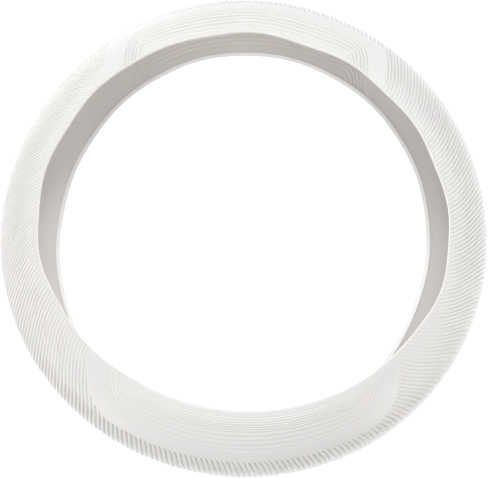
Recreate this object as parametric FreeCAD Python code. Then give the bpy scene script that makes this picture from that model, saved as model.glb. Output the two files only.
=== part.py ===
import FreeCAD, Part
import math
import os

# Stretch-on silicone steering-wheel cover, relaxed.
# One C-section ring, open toward the centre, lying on its rear lip.
# Millimetres, +Z up, ring axis on Z, front (driver side) face up.

# ---- driving dimensions -------------------------------------------------
R_OUT = 160.0        # outer radius of the relaxed ring
R_LIP = 128.9        # radius of the outer skin where it meets either lip
HEIGHT = 46.0        # lip to lip, along the axis
N_SEC = 2.43         # bulge exponent of the C section
T_WALL = 2.2         # wall thickness of the ribbed zones
T_EDGE = 1.5         # wall thickness where the wall runs into a lip
LIP_LEN = 3.0        # width of each lip, measured along the skin
LAND = 1.2           # width of the flat rest land on the rear lip
U_TREAD = 26.5       # distance along the skin, front lip to the outer tread
U_REAR = 26.5        # distance along the skin, rear lip to the outer tread
PANEL_HALF = 45.0    # half angle of a contour panel at the lip, degrees
TOP_AT = 90.0        # centre of the upper contour panel, degrees from +X
BOTTOM_AT = 270.0    # centre of the lower contour panel
PART_LINE = 0.0      # height of the mould part line over mid height
N_PTS = 64           # points used to trace one section

os.makedirs("parts", exist_ok=True)

H2 = HEIGHT / 2.0
DEPTH = R_OUT - R_LIP


def skin(s):
    """Outer skin point (radius, height over mid plane), s 1 front lip, -1 rear."""
    return (R_LIP + DEPTH * (1.0 - abs(s) ** N_SEC), s * H2)


def skin_normal(s):
    """Unit normal of the section pointing into the channel."""
    e = 1e-4
    a = skin(max(-1.0, s - e))
    b = skin(min(1.0, s + e))
    dr, dz = b[0] - a[0], b[1] - a[1]
    d = math.hypot(dr, dz)
    return (-dz / d, dr / d)


# table of arc length along the skin, from the front lip
TAB = []
_u = 0.0
_prev = skin(1.0)
M = 4000
for _i in range(M + 1):
    _s = 1.0 - 2.0 * _i / M
    _p = skin(_s)
    _u += math.hypot(_p[0] - _prev[0], _p[1] - _prev[1])
    _prev = _p
    TAB.append((_u, _s))
U_ALL = TAB[-1][0]


def s_at(u):
    """Section parameter at arc length u from the front lip."""
    u = min(max(u, 0.0), U_ALL)
    lo, hi = 0, M
    while hi - lo > 1:
        mid = (lo + hi) // 2
        if TAB[mid][0] <= u:
            lo = mid
        else:
            hi = mid
    ua, sa = TAB[lo]
    ub, sb = TAB[hi]
    k = 0.0 if ub == ua else (u - ua) / (ub - ua)
    return sa + (sb - sa) * k


def wall(u):
    """Wall thickness at arc length u: thin at both lips, full between."""
    d = min(u, U_ALL - u)
    k = min(1.0, max(0.0, d / 14.0))
    k = k * k * (3.0 - 2.0 * k)
    return T_EDGE + (T_WALL - T_EDGE) * k


def pt(r, z):
    return FreeCAD.Vector(r, 0.0, z + H2)


def outer_pt(u):
    r, z = skin(s_at(u))
    return pt(r, z)


def inner_pt(u):
    s = s_at(u)
    r, z = skin(s)
    nr, nz = skin_normal(s)
    t = wall(u)
    return pt(r + nr * t, z + nz * t)


def curve(points):
    c = Part.BSplineCurve()
    c.interpolate(points)
    return c.toShape()


def band_face(u0, u1):
    """Closed section between two arc lengths, outer skin to inner skin."""
    n = max(8, int(N_PTS * (u1 - u0) / U_ALL) + 6)
    us = [u0 + (u1 - u0) * i / n for i in range(n + 1)]
    out = [outer_pt(u) for u in us]
    inn = [inner_pt(u) for u in us]
    e1 = curve(out)
    e2 = Part.makeLine(out[-1], inn[-1])
    e3 = curve(list(reversed(inn)))
    e4 = Part.makeLine(inn[0], out[0])
    return Part.Face(Part.Wire([e1, e2, e3, e4]))


def revolve(face, at=0.0, span=360.0):
    z = FreeCAD.Vector(0, 0, 1)
    o = FreeCAD.Vector(0, 0, 0)
    if at:
        face = face.copy()
        face.rotate(o, z, at)
    s = face.revolve(o, z, span)
    return s


def lip_face(u_in, side):
    """Rounded lip closing the wall; the rear one carries the flat land."""
    o = outer_pt(u_in)
    i = inner_pt(u_in)
    if side > 0:
        o_end = outer_pt(0.0)
        i_end = inner_pt(0.0)
        sgn = 1.0
    else:
        o_end = outer_pt(U_ALL)
        i_end = inner_pt(U_ALL)
        sgn = -1.0
    # nose of the lip, half round, standing inward of both skins
    mid = (o_end + i_end) * 0.5
    axis = (o_end - o)
    axis.normalize()
    r = (o_end - i_end).Length * 0.5
    nose = mid + axis * r
    if side > 0:
        arc = Part.Arc(o_end, nose, i_end).toShape()
        edges = [Part.makeLine(o, o_end), arc, Part.makeLine(i_end, i),
                 Part.makeLine(i, o)]
        return Part.Face(Part.Wire(edges))
    # rear lip: flat annular land under the lip, at the lowest height, then a
    # half-round nose on the hub side, closing onto the channel side
    z_land = o_end.z
    a = FreeCAD.Vector(o_end.x, 0.0, z_land)
    b = FreeCAD.Vector(o_end.x - LAND, 0.0, z_land)
    k = T_EDGE * 0.5
    c = FreeCAD.Vector(b.x - k, 0.0, z_land + k)
    d = FreeCAD.Vector(b.x, 0.0, z_land + 2.0 * k)
    arc = Part.Arc(b, c, d).toShape()
    edges = [Part.makeLine(o, a), Part.makeLine(a, b), arc,
             Part.makeLine(d, i), Part.makeLine(i, o)]
    return Part.Face(Part.Wire(edges))


def save(name, shape):
    if shape.ShapeType != "Solid":
        shape = shape.Solids[0]
    if shape.Volume < 0:
        shape.reverse()
    shape.exportStep(os.path.join("parts", name + ".step"))
    b = shape.BoundBox
    print("%-22s vol %8.0f mm3  z %.2f..%.2f  r %.2f  valid %s" % (
        name, shape.Volume, b.ZMin, b.ZMax, max(b.XMax, b.YMax), shape.isValid()))
    return shape.Volume


U0 = LIP_LEN
U1 = U_TREAD
U2 = U_ALL - U_REAR
U3 = U_ALL - LIP_LEN

total = 0.0

# lips: one closed ring each
total += save("front_lip", revolve(lip_face(U0, 1)))
total += save("rear_lip", revolve(lip_face(U3, -1)))

# front face: two contour panels and two ribbed grips, butted end to end
front = band_face(U0, U1)
span_p = 2.0 * PANEL_HALF
span_g = 180.0 - span_p
total += save("front_panel_top", revolve(front, TOP_AT - PANEL_HALF, span_p))
total += save("front_panel_bottom", revolve(front, BOTTOM_AT - PANEL_HALF, span_p))
total += save("front_grip_left", revolve(front, TOP_AT + PANEL_HALF, span_g))
total += save("front_grip_right", revolve(front, BOTTOM_AT + PANEL_HALF - 360.0, span_g))

# outer tread: the ribbed outer wall, parted at the mould line
U_MID = None
for _u2, _s2 in TAB:
    if _s2 * H2 <= PART_LINE:
        U_MID = _u2
        break
total += save("tread_front", revolve(band_face(U1, U_MID)))
total += save("tread_rear", revolve(band_face(U_MID, U2)))

# rear face: same four zones as the front
rear = band_face(U2, U3)
total += save("rear_panel_top", revolve(rear, TOP_AT - PANEL_HALF, span_p))
total += save("rear_panel_bottom", revolve(rear, BOTTOM_AT - PANEL_HALF, span_p))
total += save("rear_grip_left", revolve(rear, TOP_AT + PANEL_HALF, span_g))
total += save("rear_grip_right", revolve(rear, BOTTOM_AT + PANEL_HALF - 360.0, span_g))

print("skin width %.1f mm, mid at %.1f, volume %.0f mm3, mass at 1.12 g/cc %.0f g" % (
    U_ALL, U_MID, total, total * 1.12e-3))
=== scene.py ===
import math

import bpy
import numpy as np
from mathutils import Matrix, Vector


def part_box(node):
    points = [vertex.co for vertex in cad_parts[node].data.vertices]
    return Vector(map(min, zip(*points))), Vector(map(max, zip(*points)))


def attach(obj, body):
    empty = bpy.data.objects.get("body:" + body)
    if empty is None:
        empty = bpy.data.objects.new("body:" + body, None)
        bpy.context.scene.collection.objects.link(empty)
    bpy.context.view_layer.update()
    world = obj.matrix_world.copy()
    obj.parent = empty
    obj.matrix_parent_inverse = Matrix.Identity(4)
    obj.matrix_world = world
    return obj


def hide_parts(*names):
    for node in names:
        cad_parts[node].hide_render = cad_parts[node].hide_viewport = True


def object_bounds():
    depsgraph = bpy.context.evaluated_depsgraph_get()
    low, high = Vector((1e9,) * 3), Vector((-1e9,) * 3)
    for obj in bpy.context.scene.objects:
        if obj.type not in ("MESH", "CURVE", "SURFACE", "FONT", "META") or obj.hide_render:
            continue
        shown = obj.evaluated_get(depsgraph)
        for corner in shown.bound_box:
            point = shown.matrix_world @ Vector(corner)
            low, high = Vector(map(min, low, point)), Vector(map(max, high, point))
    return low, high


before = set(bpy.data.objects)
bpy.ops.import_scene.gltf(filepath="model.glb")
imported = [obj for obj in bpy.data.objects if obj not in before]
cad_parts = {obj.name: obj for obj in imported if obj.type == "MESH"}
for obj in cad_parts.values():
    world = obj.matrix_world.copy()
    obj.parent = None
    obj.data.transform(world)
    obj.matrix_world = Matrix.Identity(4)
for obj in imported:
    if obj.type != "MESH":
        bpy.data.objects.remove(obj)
cad_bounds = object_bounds()

# ---------------------------------------------------------------------------
# Relaxed silicone steering-wheel cover. The CAD zones give the size and place;
# the skin here adds the moulded relief and the soft, slightly oval way in
# which the relaxed ring lies. Working unit in this part: millimetres.
# ---------------------------------------------------------------------------
lo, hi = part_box("tread_front")
lip_lo, lip_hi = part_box("rear_lip")
all_lo, all_hi = cad_bounds
R_OUT = round((hi[0] - lo[0]) * 500.0, 0)              # 160
HEIGHT = round((all_hi[2] - all_lo[2]) * 1000.0, 0)    # 46
H2 = HEIGHT / 2.0
R_LIP = 129.0
N_SEC = 2.43
T_WALL, T_EDGE = 2.2, 1.15
LIP_LEN = 3.0
CURL = 1.5                # the free front lip curls down a little, least at 12 o'clock
HEM, HEM_UP = 2.0, 0.3   # raised hem on the channel side of each lip
U_BAND = 26.5          # skin distance from a lip to the tread
N_RIB = 300
PER = 10               # grid columns in each rib
NJ = N_RIB * PER
TOP_AT, BOTTOM_AT = 89.0, 269.3   # where the panel patterns are centred, degrees

PLAN = [-2.3, 0.21, -0.44, -0.54]
LIP_F_Z = [0.3, -2.6, 0.9, 0.8, -0.5, 0.7, 0.0, -0.2, 0.0, 0.2, -0.3, 0.3]
LIP_F_R = [4.38, -1.26, -0.4, -0.8, 0.6, -0.35, 0.07, -0.13, -0.13, -0.15, -0.08, -0.25,
           0.1, 0.0, -0.15, 0.05, -0.2, 0.1, 0.0, -0.1, 0.0, 0.15]
LIP_R_R = [-3.12, 0.83, 0.0, 0.85, 0.2, 0.8, 0.5, 0.0, 0.05, -0.3, -0.1, -0.05]


def waves(c, th):
    """Low waves round the ring, from two per turn upward."""
    v = np.zeros_like(th)
    for k in range(len(c) // 2):
        v += c[2 * k] * np.cos((2 + k) * th) + c[2 * k + 1] * np.sin((2 + k) * th)
    return v


_S = np.linspace(1.0, -1.0, 8001)
_R = R_LIP + (R_OUT - R_LIP) * (1.0 - np.abs(_S) ** N_SEC)
_U = np.concatenate([[0.0], np.cumsum(np.hypot(np.diff(_R), np.diff(_S * H2)))])
U_ALL = float(_U[-1])
U_MID = U_ALL / 2.0


def section(th, u):
    """Smooth outer skin at angle th, skin distance u from the front lip."""
    s = np.interp(u, _U, _S)
    plan = waves(PLAN, th) + 0.95 + 0.65 * np.cos(th)
    inner = waves(PLAN, th)
    # short waves left in the thin lips by folding, fading out toward 6 o'clock
    k = np.clip((np.sin(th) + 0.6) / 0.45, 0.0, 1.0)
    rf = R_LIP + inner + waves(LIP_F_R, th) - 0.19 + 0.36 * np.cos(th) + 0.43 * np.sin(th) \
        + 0.68 * k * np.cos(13.0 * (th - 1.473))
    rr = R_LIP + inner + waves(LIP_R_R, th) - 0.70 - 0.03 * np.cos(th) + 0.15 * np.sin(th) \
        + 0.22 * k * np.cos(13.0 * (th - 0.833))
    zf = H2 + waves(LIP_F_Z, th)
    out = 1.0 - np.abs(s) ** N_SEC
    ro = R_OUT + plan
    r = np.where(s >= 0.0, rf + (ro - rf) * out, rr + (ro - rr) * out)
    z = np.where(s >= 0.0, s * zf, s * H2) + H2
    z = z - CURL * (0.5 - 0.5 * np.sin(th)) ** 2 * np.clip(1.0 - u / 9.0, 0.0, 1.0) ** 2
    return np.stack([r * np.cos(th), r * np.sin(th), z], -1)


def smooth_normal(th, u):
    d = 1e-3
    a = section(th + d, u) - section(th - d, u)
    e = 0.05
    b = section(th, np.clip(u + e, 0, U_ALL)) - section(th, np.clip(u - e, 0, U_ALL))
    n = np.cross(b, a)
    return n / np.linalg.norm(n, axis=-1, keepdims=True)


def smoothstep(a, b, x):
    k = np.clip((x - a) / (b - a), 0.0, 1.0)
    return k * k * (3.0 - 2.0 * k)


def wall(u):
    d = np.minimum(u, U_ALL - u)
    return T_EDGE + (T_WALL - T_EDGE) * smoothstep(0.0, 14.0, d)


# ---- relief -----------------------------------------------------------------
# how far a rib has turned round the ring, for each skin distance from a lip
_UR = np.array([0.0, 5.0, 9.0, 13.0, 17.0, 21.0, 25.0, 29.0, 32.0, 36.0, 39.0, 42.5])
_SIDE = np.array([0.62, 0.70, 0.82, 0.95, 1.00, 1.02, 0.95, 0.80, 0.65, 0.42, 0.22, 0.0])
_ENDS = np.array([0.62, 0.70, 0.82, 0.95, 1.00, 1.02, 0.85, 0.58, 0.42, 0.30, 0.18, 0.0])
_ug = np.linspace(0.0, 43.0, 861)
_ps = np.concatenate([[0.0], np.cumsum(np.interp(_ug, _UR, _SIDE)[:-1] * np.diff(_ug))])
_pe = np.concatenate([[0.0], np.cumsum(np.interp(_ug, _UR, _ENDS)[:-1] * np.diff(_ug))])


def near_panel(th):
    """Signed angle in degrees to the nearer panel centre, and which one it is."""
    d = np.degrees(th)
    top = (d - TOP_AT + 180.0) % 360.0 - 180.0
    bot = (d - BOTTOM_AT + 180.0) % 360.0 - 180.0
    is_top = np.abs(top) < np.abs(bot)
    return np.where(is_top, top, bot), is_top


def turn_of_rib(th, d):
    """Turn of a rib, in radians, at distance d from the nearer lip."""
    half, _ = near_panel(th)
    k = smoothstep(30.0, 55.0, np.abs(half))
    ps, pe = np.interp(d, _ug, _ps), np.interp(d, _ug, _pe)
    return (k * ps + (1.0 - k) * pe) / R_OUT


def rib_edge(is_top, d):
    """Half angle at which the ribs stop beside a panel, degrees."""
    bot = np.interp(d, [0.0, 5.0, 13.6, 18.5, 23.5, 26.5], [46.8, 45.4, 42.5, 40.3, 37.0, 33.0])
    top = np.interp(d, [0.0, 3.0, 7.5, 15.5, 22.5, 28.0], [45.8, 45.0, 43.8, 41.2, 39.0, 36.5])
    return np.where(is_top, top, bot)


CONTOUR_BOTTOM = [(2.2, .19, .28), (3.5, .21, .28), (4.8, .22, .28), (6.1, .22, .28), (7.4, .23, .28),
                  (8.6, .25, .28), (9.8, .25, .30), (11.1, .26, .40), (13.4, .18, .60), (15.7, .17, .65),
                  (18.2, .16, .65), (20.3, .12, .60)]
CONTOUR_TOP = [(2.8, .55, .38), (5.3, .65, .42), (8.2, .85, .44), (11.1, .9, .44), (14.0, .9, .44),
               (16.7, .9, .44), (19.4, .8, .44)]
RIB_DEPTH = 0.75
RIB_WIDE = 0.17


def contour_level(s, d, is_top):
    """Which nested contour line passes through (s, d), by its distance at the panel centre.
    The lines run along the lip, round a corner and rise straight to the lip."""
    lean = np.where(is_top, 0.95, 1.25)
    wide = np.where(is_top, 1.25, 1.50)
    start = np.where(is_top, 84.4, 88.3)
    slant = (s + lean * d - start) / wide
    big = np.maximum(d, slant)
    r = 2.0 + 0.32 * np.clip(big, 0.0, 22.0)
    h = np.maximum(r - np.abs(d - slant), 0.0) / r
    return big + h * h * r * 0.25, slant


def relief(th, u):
    """Height of the moulded pattern over the smooth skin, mm, 0 or below."""
    d = np.minimum(u, U_ALL - u)
    half, is_top = near_panel(th)
    away = np.abs(half)
    # ribs
    phase = (th - turn_of_rib(th, d)) * N_RIB / (2 * math.pi)
    p = phase - np.round(phase)
    groove = np.exp(-(p / RIB_WIDE) ** 2)
    edge = rib_edge(is_top, d)
    side = smoothstep(-0.35, 0.35, away - edge)
    tread = smoothstep(U_BAND - 0.2, U_BAND + 1.5, d)
    mask = np.maximum(side, tread)
    mask = mask * (0.45 + 0.55 * smoothstep(3.0, 14.0, d)) * smoothstep(0.1, 0.8, d)
    # they are not equally deep all round, least so at the lower right
    face = 1.0 - smoothstep(U_BAND - 3.0, U_BAND + 6.0, d)
    t = np.degrees(th)
    low = (t - 322.0 + 180.0) % 360.0 - 180.0
    high = (t - 26.0 + 180.0) % 360.0 - 180.0
    left = (t - 218.0 + 180.0) % 360.0 - 180.0
    on_face = 1.18 + 0.15 * np.sin(th) + 0.45 * np.exp(-(high / 36.0) ** 2) * smoothstep(6.0, 16.0, d) \
        - 0.8 * np.exp(-(low / 24.0) ** 2) - 0.17 * np.exp(-(left / 20.0) ** 2)
    on_tread = (1.12 + 0.2 * np.cos(th) ** 2 - 0.42 * np.exp(-(low / 22.0) ** 2)) * (1.0 - 0.2 * smoothstep(34.0, 41.0, d))
    mask = mask * (face * on_face + (1.0 - face) * on_tread)
    # the ribs under a panel are cut deep where they begin and run out toward the middle
    deep = 0.5 * smoothstep(U_BAND, U_BAND + 1.5, d) * (1.0 - smoothstep(U_BAND + 3.0, U_BAND + 10.0, d))
    depth = RIB_DEPTH * (1.0 + deep * (1.0 - smoothstep(38.0, 56.0, away)))
    h = -depth * mask * groove
    # contour lines
    near = (away < 50.0) & (d < U_BAND) & (d > 0.3)
    if near.any():
        s = np.radians(away[near]) * R_OUT
        top_here = is_top[near]
        level, slant = contour_level(s, d[near], top_here)
        c = np.zeros_like(level)
        for lines, here in ((CONTOUR_TOP, top_here), (CONTOUR_BOTTOM, ~top_here)):
            for at, deep, w in lines:
                out = 1.0 if at < 16.5 or lines is CONTOUR_TOP else 1.0 - smoothstep(at - 4.0, at - 1.0, slant)
                c -= here * deep * out * np.exp(-((level - at) / w) ** 2)
        fade = smoothstep(0.3, 1.4, d[near]) * (1.0 - side[near])
        h[near] += c * fade
    return h


def sink(th, u):
    """Shallow marks on the channel side of the wall, opposite the contour grooves."""
    d = np.minimum(u, U_ALL - u)
    half, is_top = near_panel(th)
    away = np.abs(half)
    h = np.zeros_like(th)
    near = (away < 50.0) & (d < U_BAND) & (d > LIP_LEN)
    if near.any():
        level, _ = contour_level(np.radians(away[near]) * R_OUT, d[near], is_top[near])
        c = sum(np.exp(-((level - at) / 0.75) ** 2) for at in (8.2, 11.1, 14.0, 16.7, 19.4))
        h[near] = 0.3 * c * smoothstep(LIP_LEN, LIP_LEN + 1.0, d[near]) * (1.0 - smoothstep(U_BAND - 3.0, U_BAND, d[near]))
    return h


# ---- grid -------------------------------------------------------------------
def column_angle(j, u):
    """Grid columns follow the ribs on the grips and tread, and stay square on the panels."""
    th0 = j * (2 * math.pi / NJ)
    half, _ = near_panel(th0)
    k = smoothstep(14.0, 50.0, np.abs(half))
    d = np.minimum(u, U_ALL - u)
    inner = np.minimum(d, U_BAND)
    lean = k * np.interp(inner, _ug, _ps)
    kk = smoothstep(30.0, 55.0, np.abs(half))
    over = kk * (np.interp(d, _ug, _ps) - np.interp(inner, _ug, _ps)) \
        + (1.0 - kk) * (np.interp(d, _ug, _pe) - np.interp(inner, _ug, _pe))
    return th0 + (lean + over) / R_OUT


def row_points(row, j):
    """One row of points round the ring. Rows are (kind, value)."""
    kind, v = row
    u = v if kind in "oi" else (0.0 if kind == "f" else U_ALL)
    uu = np.full(j.shape, float(u))
    th = column_angle(j, uu)
    base = section(th, uu)
    n = smooth_normal(th, uu)
    if kind == "o":
        return base + n * relief(th, uu)[:, None]
    t = wall(uu)[:, None]
    d = min(u, U_ALL - u)
    if d < HEM + 0.3:
        t = t + HEM_UP * (1.0 - float(smoothstep(HEM, HEM + 0.3, d)))
    if kind == "i":
        return base - n * (t - sink(th, uu)[:, None])
    # rounded nose of a lip: v runs 0 at the outer skin to 1 at the inner skin
    e = 0.5
    step = section(th, uu + (e if kind == "f" else -e)) - base
    out = -step / np.linalg.norm(step, axis=-1, keepdims=True)
    c = base - n * t * 0.5
    return c + n * t * 0.5 * math.cos(math.pi * v) + out * t * 0.5 * math.sin(math.pi * v)


def strip(rows, before, after, j, closed):
    """Points and normals of a strip of rows over columns j."""
    if closed:
        jj = np.concatenate([[j[-1]], j, [j[0]]]).astype(float)
    else:
        jj = np.concatenate([[j[0] - 1.0], j, [j[-1] + 1.0]]).astype(float)
    p = np.stack([row_points(r, jj) for r in [before] + rows + [after]])
    di = p[2:, 1:-1] - p[:-2, 1:-1]
    dj = p[1:-1, 2:] - p[1:-1, :-2]
    n = np.cross(di, dj)
    n /= np.maximum(np.linalg.norm(n, axis=-1, keepdims=True), 1e-12)
    return p[1:-1, 1:-1], n


def spaced(a, b, step):
    k = max(1, int(math.ceil((b - a) / step)))
    return [a + (b - a) * i / k for i in range(k + 1)]


def make_zone(name, j, closed, strips, slots):
    """A closed zone of the moulding. strips: (rows, before, after, material index), in order
    round the section; between strips, and from the last to the first, lie the cut faces."""
    verts, vn, blocks, base = [], [], [], 0
    for rows, before, after, mat in strips:
        p, n = strip(rows, before, after, j, closed)
        verts.append(p.reshape(-1, 3))
        vn.append(n.reshape(-1, 3))
        blocks.append((base, len(rows), mat))
        base += p.shape[0] * p.shape[1]
    verts = np.concatenate(verts)
    vn = np.concatenate(vn)
    nc = len(j)
    quads, mats, kinds = [], [], []

    def band(ra, rb, mat, smooth):
        """Faces between two rows given by their first vertex."""
        a = np.arange(nc if closed else nc - 1)
        b = (a + 1) % nc
        q = np.stack([ra + a, rb + a, rb + b, ra + b], -1)
        quads.append(q)
        mats.append(np.full(len(q), mat))
        kinds.append(np.full(len(q), 1 if smooth else 0))

    for at, n_rows, mat in blocks:
        for i in range(n_rows - 1):
            band(at + i * nc, at + (i + 1) * nc, mat, True)
    if len(blocks) > 1:
        for k in range(len(blocks)):
            a = blocks[k]
            b = blocks[(k + 1) % len(blocks)]
            band(a[0] + (a[1] - 1) * nc, b[0], a[2], False)
    else:
        at, n_rows, mat = blocks[0]
        band(at + (n_rows - 1) * nc, at, mat, False)
    quads = np.concatenate(quads)
    mats = np.concatenate(mats)
    kinds = np.concatenate(kinds)
    loops = quads.reshape(-1)
    starts = np.arange(len(quads)) * 4
    totals = np.full(len(quads), 4)
    if not closed:
        # end faces of the zone, one at each end
        ring = []
        for at, n_rows, _ in blocks:
            ring += [at + i * nc for i in range(n_rows)]
        ring = np.array(ring)
        for shift, flip in ((0, False), (nc - 1, True)):
            cap = ring + shift
            cap = cap[::-1] if not flip else cap
            starts = np.append(starts, len(loops))
            totals = np.append(totals, len(cap))
            loops = np.concatenate([loops, cap])
            mats = np.append(mats, 0)
            kinds = np.append(kinds, 0)
    me = bpy.data.meshes.new(name)
    me.vertices.add(len(verts))
    me.vertices.foreach_set("co", (verts * 0.001).astype(np.float32).ravel())
    me.loops.add(len(loops))
    me.loops.foreach_set("vertex_index", loops.astype(np.int32))
    me.polygons.add(len(starts))
    me.polygons.foreach_set("loop_start", starts.astype(np.int32))
    me.polygons.foreach_set("material_index", mats.astype(np.int32))
    me.polygons.foreach_set("use_smooth", kinds.astype(bool))
    me.update(calc_edges=True)
    me.validate(clean_customdata=False)
    # shading normals come from the whole moulding, so that no zone edge shows
    flat = np.empty(len(me.polygons) * 3, np.float32)
    me.polygons.foreach_get("normal", flat)
    flat = flat.reshape(-1, 3)
    poly = np.repeat(np.arange(len(starts)), totals)
    nl = np.where(kinds[poly][:, None] == 1, vn[loops], flat[poly])
    me.normals_split_custom_set(nl)
    ob = bpy.data.objects.new(name, me)
    bpy.context.scene.collection.objects.link(ob)
    for m in slots:
        me.materials.append(m)
    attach(ob, "root")
    return ob


# ---- material ---------------------------------------------------------------
def silicone(name, colour, dark, rough, gloss):
    m = bpy.data.materials.new(name)
    m.use_nodes = True
    nt = m.node_tree
    nt.nodes.clear()
    out = nt.nodes.new("ShaderNodeOutputMaterial")
    bsdf = nt.nodes.new("ShaderNodeBsdfPrincipled")
    nt.links.new(bsdf.outputs["BSDF"], out.inputs["Surface"])
    tex = nt.nodes.new("ShaderNodeTexCoord")
    # slow clouding of the cured silicone
    cloud = nt.nodes.new("ShaderNodeTexNoise")
    cloud.inputs["Scale"].default_value = 22.0
    cloud.inputs["Detail"].default_value = 4.0
    cloud.inputs["Roughness"].default_value = 0.55
    nt.links.new(tex.outputs["Object"], cloud.inputs["Vector"])
    ramp = nt.nodes.new("ShaderNodeValToRGB")
    ramp.color_ramp.elements[0].position = 0.3
    ramp.color_ramp.elements[0].color = (*dark, 1.0)
    ramp.color_ramp.elements[1].position = 0.7
    ramp.color_ramp.elements[1].color = (*colour, 1.0)
    nt.links.new(cloud.outputs["Fac"], ramp.inputs["Fac"])
    nt.links.new(ramp.outputs["Color"], bsdf.inputs["Base Color"])
    # matt mould finish: fine grain in the gloss and in the surface
    grain = nt.nodes.new("ShaderNodeTexNoise")
    grain.inputs["Scale"].default_value = 900.0
    grain.inputs["Detail"].default_value = 3.0
    nt.links.new(tex.outputs["Object"], grain.inputs["Vector"])
    rr = nt.nodes.new("ShaderNodeMapRange")
    rr.inputs["To Min"].default_value = rough - 0.06
    rr.inputs["To Max"].default_value = rough + 0.06
    nt.links.new(grain.outputs["Fac"], rr.inputs["Value"])
    nt.links.new(rr.outputs["Result"], bsdf.inputs["Roughness"])
    bump = nt.nodes.new("ShaderNodeBump")
    bump.inputs["Strength"].default_value = 0.06
    bump.inputs["Distance"].default_value = 0.0002
    nt.links.new(grain.outputs["Fac"], bump.inputs["Height"])
    nt.links.new(bump.outputs["Normal"], bsdf.inputs["Normal"])
    bsdf.inputs["IOR"].default_value = 1.41
    bsdf.inputs["Specular IOR Level"].default_value = gloss
    return m


skin = silicone("silicone_outer", (0.726, 0.721, 0.714), (0.711, 0.706, 0.698), 0.33, 0.75)
# the lining's ramp runs from a dark painted shade colour to its lit colour, standing in for shade inside the
# channel
lining = silicone("silicone_inner_painted_shade", (0.721, 0.695, 0.676), (0.474, 0.457, 0.444), 0.5, 0.35)


def paint_light_across(m, turn, reach):
    """Painted light and shade: spread the ramp of a material across the ring, along a direction in degrees,
    with the clouding on top.
    The channel side is painted a little lighter where more light would soak through the thin wall, and darker
    toward the other side."""
    nt = m.node_tree
    ramp = next(n for n in nt.nodes if n.type == "VALTORGB")
    ramp.color_ramp.elements[0].position = 0.0
    ramp.color_ramp.elements[1].position = 1.0
    cloud = ramp.inputs["Fac"].links[0].from_node
    tex = nt.nodes.new("ShaderNodeTexCoord")
    along = nt.nodes.new("ShaderNodeMapping")
    along.inputs["Rotation"].default_value = (0.0, 0.0, -math.radians(turn))
    nt.links.new(tex.outputs["Object"], along.inputs["Vector"])
    xyz = nt.nodes.new("ShaderNodeSeparateXYZ")
    nt.links.new(along.outputs["Vector"], xyz.inputs["Vector"])
    sum_ = nt.nodes.new("ShaderNodeMapRange")
    sum_.inputs["From Min"].default_value = 0.3
    sum_.inputs["From Max"].default_value = 0.7
    for end, lo_, hi_ in (("To Min", 0.0, 0.94), ("To Max", 0.06, 1.0)):
        r = nt.nodes.new("ShaderNodeMapRange")
        r.inputs["From Min"].default_value = -reach
        r.inputs["From Max"].default_value = reach
        r.inputs["To Min"].default_value = lo_
        r.inputs["To Max"].default_value = hi_
        nt.links.new(xyz.outputs["X"], r.inputs["Value"])
        nt.links.new(r.outputs["Result"], sum_.inputs[end])
    nt.links.new(cloud.outputs["Fac"], sum_.inputs["Value"])
    nt.links.new(sum_.outputs["Result"], ramp.inputs["Fac"])


# painted light and shade on the channel lining: lighter toward one side of the ring, darker toward the other
paint_light_across(lining, 115.0, 0.14)



def glow(m, colour, y0, y1, at0, at1):
    """Painted light: emission on the thin lip edge, standing in for light carried along the wall and coming
    out at its edge, changing slowly from 6 to 12 o'clock.
    """
    nt = m.node_tree
    bsdf = nt.nodes["Principled BSDF"]
    bsdf.inputs["Emission Color"].default_value = (*colour, 1.0)
    tex = nt.nodes.new("ShaderNodeTexCoord")
    xyz = nt.nodes.new("ShaderNodeSeparateXYZ")
    nt.links.new(tex.outputs["Object"], xyz.inputs["Vector"])
    r = nt.nodes.new("ShaderNodeMapRange")
    r.inputs["From Min"].default_value = y0
    r.inputs["From Max"].default_value = y1
    r.inputs["To Min"].default_value = at0
    r.inputs["To Max"].default_value = at1
    nt.links.new(xyz.outputs["Y"], r.inputs["Value"])
    nt.links.new(r.outputs["Result"], bsdf.inputs["Emission Strength"])


# the rim materials are painted light: base colours lighter than the skin, and emission that makes the edges
# glow though they are no lamp
edge = silicone("silicone_rear_edge_painted_glow", (0.80, 0.80, 0.805), (0.78, 0.78, 0.785), 0.4, 0.5)
# painted glow on the rear rim, stronger toward 12 o'clock
glow(edge, (1.0, 0.99, 0.985), 0.02, 0.12, 0.0, 0.14)
front_edge = silicone("silicone_front_edge_painted_glow", (0.74, 0.735, 0.73), (0.725, 0.72, 0.715), 0.35, 0.6)
# painted glow on the front rim, strongest toward 6 o'clock
glow(front_edge, (1.0, 0.99, 0.985), 0.03, 0.10, 0.18, 0.0)

# ---- the twelve zones -------------------------------------------------------
whole = np.arange(NJ)
O, I = "o", "i"


def o_rows(a, b, step):
    return [(O, u) for u in spaced(a, b, step)]


def i_rows(a, b, step):
    return [(I, u) for u in spaced(a, b, step)][::-1]


def zone_strips(a, b, step, fine=None, inner=3.0):
    rows = fine if fine else o_rows(a, b, step)
    return [
        (rows, (O, a - 0.4), (O, b + 0.4), 0),
        (i_rows(a, b, inner), (I, b + 1.0), (I, a - 1.0), 1),
    ]


def cols(deg0, deg1):
    return np.arange(int(round(deg0 / 360.0 * NJ)), int(round(deg1 / 360.0 * NJ)) + 1)


mats = [skin, lining]


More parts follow.
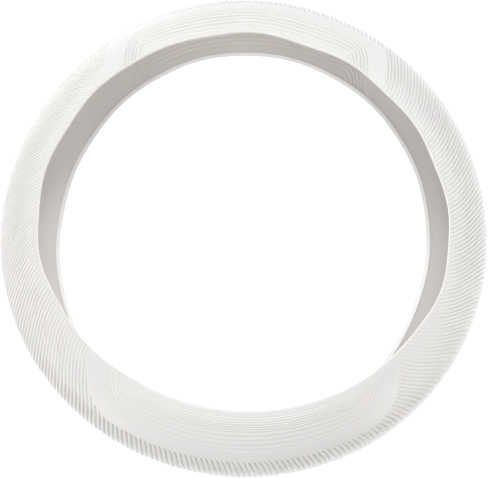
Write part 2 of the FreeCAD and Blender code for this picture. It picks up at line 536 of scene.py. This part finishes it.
def paint_lip(ob, rows, rim):
    """Slots of a lip: skin outside, rim material with painted light on its nose and hem, lining past the hem.
    """
    idx = np.zeros(len(ob.data.polygons), np.int32)
    for k in range(len(rows) - 1):
        (ka, ua), (kb, ub) = rows[k], rows[k + 1]
        da = min(ua, U_ALL - ua) if ka in "oi" else 0.0
        db = min(ub, U_ALL - ub) if kb in "oi" else 0.0
        deep = max(da, db)
        if "o" in (ka, kb):
            m = 0
        elif "i" in (ka, kb):
            m = rim if deep < HEM + 0.02 else 1
        else:
            m = 2 if rim == 2 or min(ka == "i" or ua, kb == "i" or ub) > 0.24 else 0
        idx[k * NJ:(k + 1) * NJ] = m
    ob.data.polygons.foreach_set("material_index", idx)
    ob.data.update()


arcs = {
    "panel_top": (45, 135, 0.28, 0.7), "grip_left": (135, 225, 0.7, 2.0),
    "panel_bottom": (225, 315, 0.28, 0.7), "grip_right": (315, 405, 0.7, 2.0),
}
for part, (d0, d1, step, inner) in arcs.items():
    for face, a, b in (("front", LIP_LEN, U_BAND), ("rear", U_ALL - U_BAND, U_ALL - LIP_LEN)):
        node = face + "_" + part
        ob = make_zone("skin_" + node, cols(d0, d1), False, zone_strips(a, b, step, None, inner), mats)
        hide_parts(node)

fine = o_rows(U_BAND, U_BAND + 3.0, 0.5) + o_rows(U_BAND + 3.0, U_MID, 0.8)[1:]
ob = make_zone("skin_tread_front", whole, True, zone_strips(U_BAND, U_MID, 0.8, fine), mats)
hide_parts("tread_front")
back = [(O, U_ALL - u) for _, u in fine][::-1]
ob = make_zone("skin_tread_rear", whole, True, zone_strips(U_MID, U_ALL - U_BAND, 0.8, back), mats)
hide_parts("tread_rear")

NOSE = [0.12, 0.25, 0.38, 0.5, 0.62, 0.75, 0.88]
rows = [(O, u) for u in (3.0, 2.5, 2.0, 1.5, 1.0, 0.5, 0.0)] + [("f", t) for t in NOSE] \
    + [(I, u) for u in (0.0, 0.6, 1.2, 1.8, 2.0, 2.1, 2.2, 2.3, 2.6, 3.0)]
ob = make_zone("skin_front_lip", whole, True, [(rows[::-1], (I, 4.0), (O, 3.4), 0)], mats + [front_edge])
paint_lip(ob, rows[::-1], 0)
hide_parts("front_lip")
rows = [(O, U_ALL - u) for u in (3.0, 2.5, 2.0, 1.5, 1.0, 0.5, 0.0)] + [("r", t) for t in NOSE] \
    + [(I, U_ALL - u) for u in (0.0, 0.6, 1.2, 1.8, 2.0, 2.1, 2.2, 2.3, 2.6, 3.0)]
ob = make_zone("skin_rear_lip", whole, True, [(rows, (O, U_ALL - 3.4), (I, U_ALL - 4.0), 0)], mats + [edge])
paint_lip(ob, rows, 2)
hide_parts("rear_lip")

# ---- floor, light, camera ----------------------------------------------------
me = bpy.data.meshes.new("floor")
me.from_pydata([(-30, -30, 0), (30, -30, 0), (30, 30, 0), (-30, 30, 0)], [], [(0, 1, 2, 3)])
floor = bpy.data.objects.new("floor", me)
bpy.context.scene.collection.objects.link(floor)
fm = bpy.data.materials.new("floor_white")
fm.use_nodes = True
fb = fm.node_tree.nodes["Principled BSDF"]
fb.inputs["Base Color"].default_value = (0.8, 0.8, 0.8, 1.0)
fb.inputs["Emission Color"].default_value = (1.0, 1.0, 1.0, 1.0)
fb.inputs["Emission Strength"].default_value = 0.88
fb.inputs["Roughness"].default_value = 0.9
fb.inputs["Specular IOR Level"].default_value = 0.0
me.materials.append(fm)

world = bpy.data.worlds.new("studio")
bpy.context.scene.world = world
world.use_nodes = True
wt = world.node_tree
bg = wt.nodes["Background"]
bg.inputs["Color"].default_value = (1.0, 1.0, 1.0, 1.0)
# a pale room, brighter behind the object than in front of it
wc = wt.nodes.new("ShaderNodeTexCoord")
ws = wt.nodes.new("ShaderNodeSeparateXYZ")
wr = wt.nodes.new("ShaderNodeMapRange")
wr.inputs["From Min"].default_value = -1.0
wr.inputs["From Max"].default_value = 1.0
wr.inputs["To Min"].default_value = 0.05
wr.inputs["To Max"].default_value = 0.45
wt.links.new(wc.outputs["Generated"], ws.inputs["Vector"])
wt.links.new(ws.outputs["Y"], wr.inputs["Value"])
wt.links.new(wr.outputs["Result"], bg.inputs["Strength"])


def softbox(name, around, up, size, power, tint=(1.0, 1.0, 1.0)):
    """A square softbox 2 m from the object, at angles in degrees round it and above the floor."""
    a, e = math.radians(around), math.radians(up)
    at = Vector((math.cos(e) * math.cos(a), math.cos(e) * math.sin(a), math.sin(e))) * 2.0
    ld = bpy.data.lights.new(name, "AREA")
    ld.shape = "SQUARE"
    ld.size = size
    ld.energy = power
    ld.color = tint
    lamp = bpy.data.objects.new(name, ld)
    bpy.context.scene.collection.objects.link(lamp)
    lamp.location = at
    lamp.rotation_euler = (-at).to_track_quat("-Z", "Y").to_euler()


WARM = (1.0, 0.972, 0.952)
softbox("key_back", 92, 60, 1.2, 23.0)
softbox("back_right", 45, 35, 1.2, 5.5)
softbox("side_left", 180, 25, 1.2, 10.8)
softbox("front_right", 325, 35, 0.9, 10.6, WARM)
softbox("front_left", 215, 35, 0.9, 9.5, WARM)
softbox("front_top", 270, 60, 1.2, 1.5, WARM)

cam_d = bpy.data.cameras.new("camera")
cam = bpy.data.objects.new("camera", cam_d)
bpy.context.scene.collection.objects.link(cam)
ELEV = math.radians(71.76)
DIST = 0.8
cam.location = (0.0, -DIST * math.cos(ELEV), H2 * 0.001 + DIST * math.sin(ELEV))
cam.rotation_euler = (math.pi / 2 - ELEV, 0.0, 0.0)
cam_d.sensor_width = 36.0
cam_d.lens = 36.0 * 1225.0 / 488.0
cam_d.shift_x = 0.5 / 488.0
cam_d.shift_y = -13.7 / 488.0
cam_d.clip_start = 0.01
bpy.context.scene.camera = cam
bpy.context.scene.view_settings.view_transform = "Standard"
